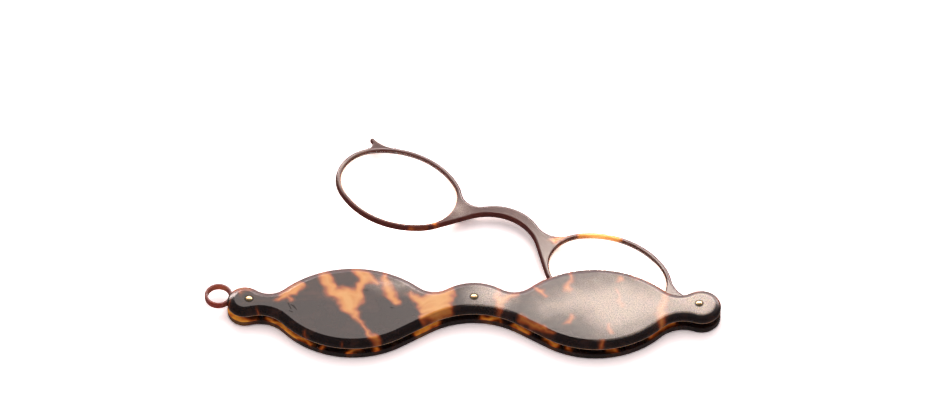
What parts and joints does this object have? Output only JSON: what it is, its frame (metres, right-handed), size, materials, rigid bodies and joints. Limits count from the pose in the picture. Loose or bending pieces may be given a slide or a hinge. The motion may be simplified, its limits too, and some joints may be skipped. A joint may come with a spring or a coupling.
{
  "type": "lorgnette",
  "caption": "Folding lorgnette of dark tortoiseshell: a slotted case that is also the handle, an oval-rimmed spectacle front that swings out of it on a pin, a thumb hook and a ribbon ring.",
  "frame": {"origin": "on the rear cover's flat outer face, on which the case lies, halfway between the two end pins and level with the pivot", "axes": "+X along the case towards the pivot, +Y to the side where the front swings out, +Z out of the front cover"},
  "size_m": [0.1344, 0.0722, 0.0062],
  "materials": {
    "case_shell": "polished brown-black tortoiseshell with amber patches",
    "front_shell": "polished red-brown tortoiseshell",
    "lens_glass": "clear polished glass",
    "pin_brass": "polished"
  },
  "bodies": {
    "case": {"rear_cover": "case_shell", "front_cover": "case_shell", "pivot_pin": "pin_brass", "middle_pin": "pin_brass", "ring_pin": "pin_brass", "middle_spacer": "pin_brass"},
    "front": {"spectacle_front": "front_shell", "outer_lens": "lens_glass", "inner_lens": "lens_glass"},
    "ring": {"suspension_ring": "front_shell"}
  },
  "joints": [
    {"name": "front_swing", "type": "hinge", "parent": "case", "child": "front", "pos_m": [0.0585, 0, 0.00295], "axis": [0, 0, 1], "range_deg": [-152, 28]},
    {"name": "ring_swing", "type": "hinge", "parent": "case", "child": "ring", "pos_m": [-0.0585, 0.001, 0.00295], "axis": [0, 0, 1], "range_deg": [-68, 112]}
  ]
}
